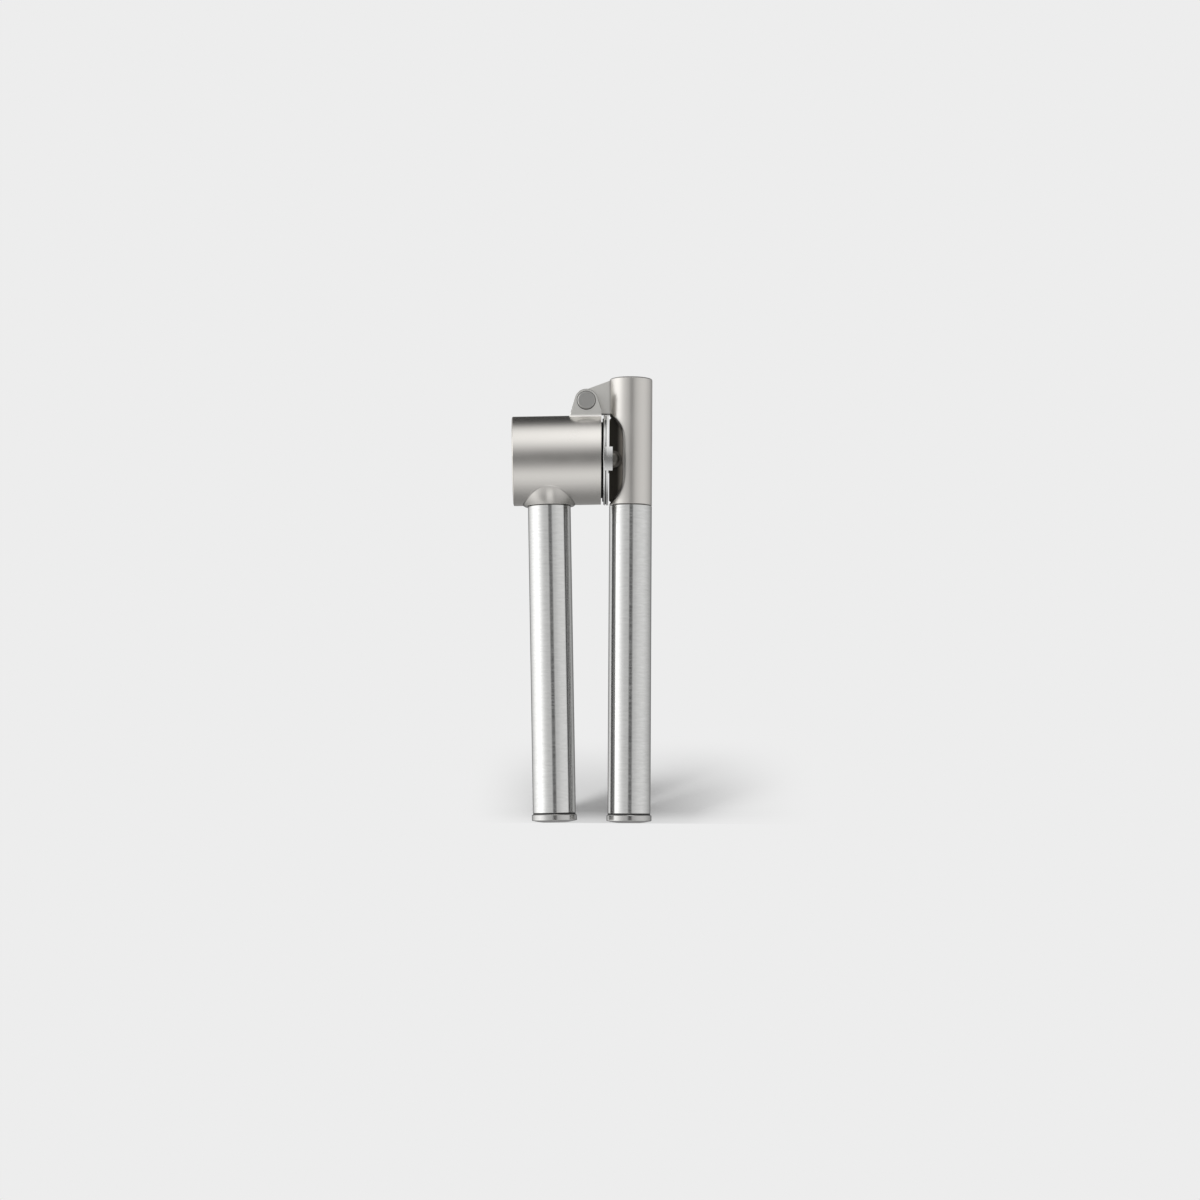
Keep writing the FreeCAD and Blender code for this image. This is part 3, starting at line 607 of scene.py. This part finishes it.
def angle_from_front(world, sideways, front):
    return math_node(world, "MULTIPLY", math_node(world, "ARCTAN2", sideways, front), 180 / math.pi)


def make_world():
    """A studio seen only in reflections: a bright box on the left, a dimmer one on the right, a
    panel overhead, a white table below, and a dark gap where the camera stands. The camera itself
    sees the plain background."""
    world = bpy.data.worlds.new("studio")
    bpy.context.scene.world = world
    world.use_nodes = True
    coordinates = add_node(world, "ShaderNodeTexCoord")
    parts = add_node(world, "ShaderNodeSeparateXYZ")
    link(world, coordinates.outputs["Generated"], parts.inputs[0])
    right, back, up = parts.outputs
    front = math_node(world, "MULTIPLY", back, -1.0)

    steep = remap(world, magnitude(world, up), 0.5, 0.95, 1.0, 0.5)
    level = brightness_along(world, angle_from_front(world, right, front), ROOM_AROUND)
    around = math_node(world, "MULTIPLY", steep, level)
    over = brightness_along(world, angle_from_front(world, up, front), ROOM_OVER)
    aside = magnitude(world, math_node(world, "SUBTRACT", right, GAP_MIDDLE))
    centred = short_of(world, aside, 0.5 * GAP_REACH, 1.5 * GAP_REACH)
    room = mix_value(world, centred, around, over)

    camera_ray = add_node(world, "ShaderNodeLightPath").outputs["Is Camera Ray"]
    background = world.node_tree.nodes["Background"]
    background.inputs["Color"].default_value = (1, 1, 1, 1)
    link(world, mix_value(world, camera_ray, room, BACKGROUND), background.inputs["Strength"])


# ---- camera ------------------------------------------------------------------------------

def make_camera():
    """A long lens just above the floor, turned slightly up at the press."""
    place = Vector((7.1, -1080.0, 4.0)) * MM
    pitch_up = math.radians(4.33)
    roll = math.radians(0.33)
    camera = bpy.data.objects.new("camera", bpy.data.cameras.new("camera"))
    camera.data.lens = 84.2
    camera.data.sensor_width = 36.0
    camera.data.clip_start = 0.01
    turn = Matrix.Rotation(math.radians(90) + pitch_up, 4, "X") @ Matrix.Rotation(roll, 4, "Z")
    camera.matrix_world = Matrix.Translation(place) @ turn
    bpy.context.collection.objects.link(camera)
    bpy.context.scene.camera = camera


paint_everything()
make_floor()
make_key_light()
make_world()
make_camera()
bpy.context.scene.view_settings.view_transform = "Standard"
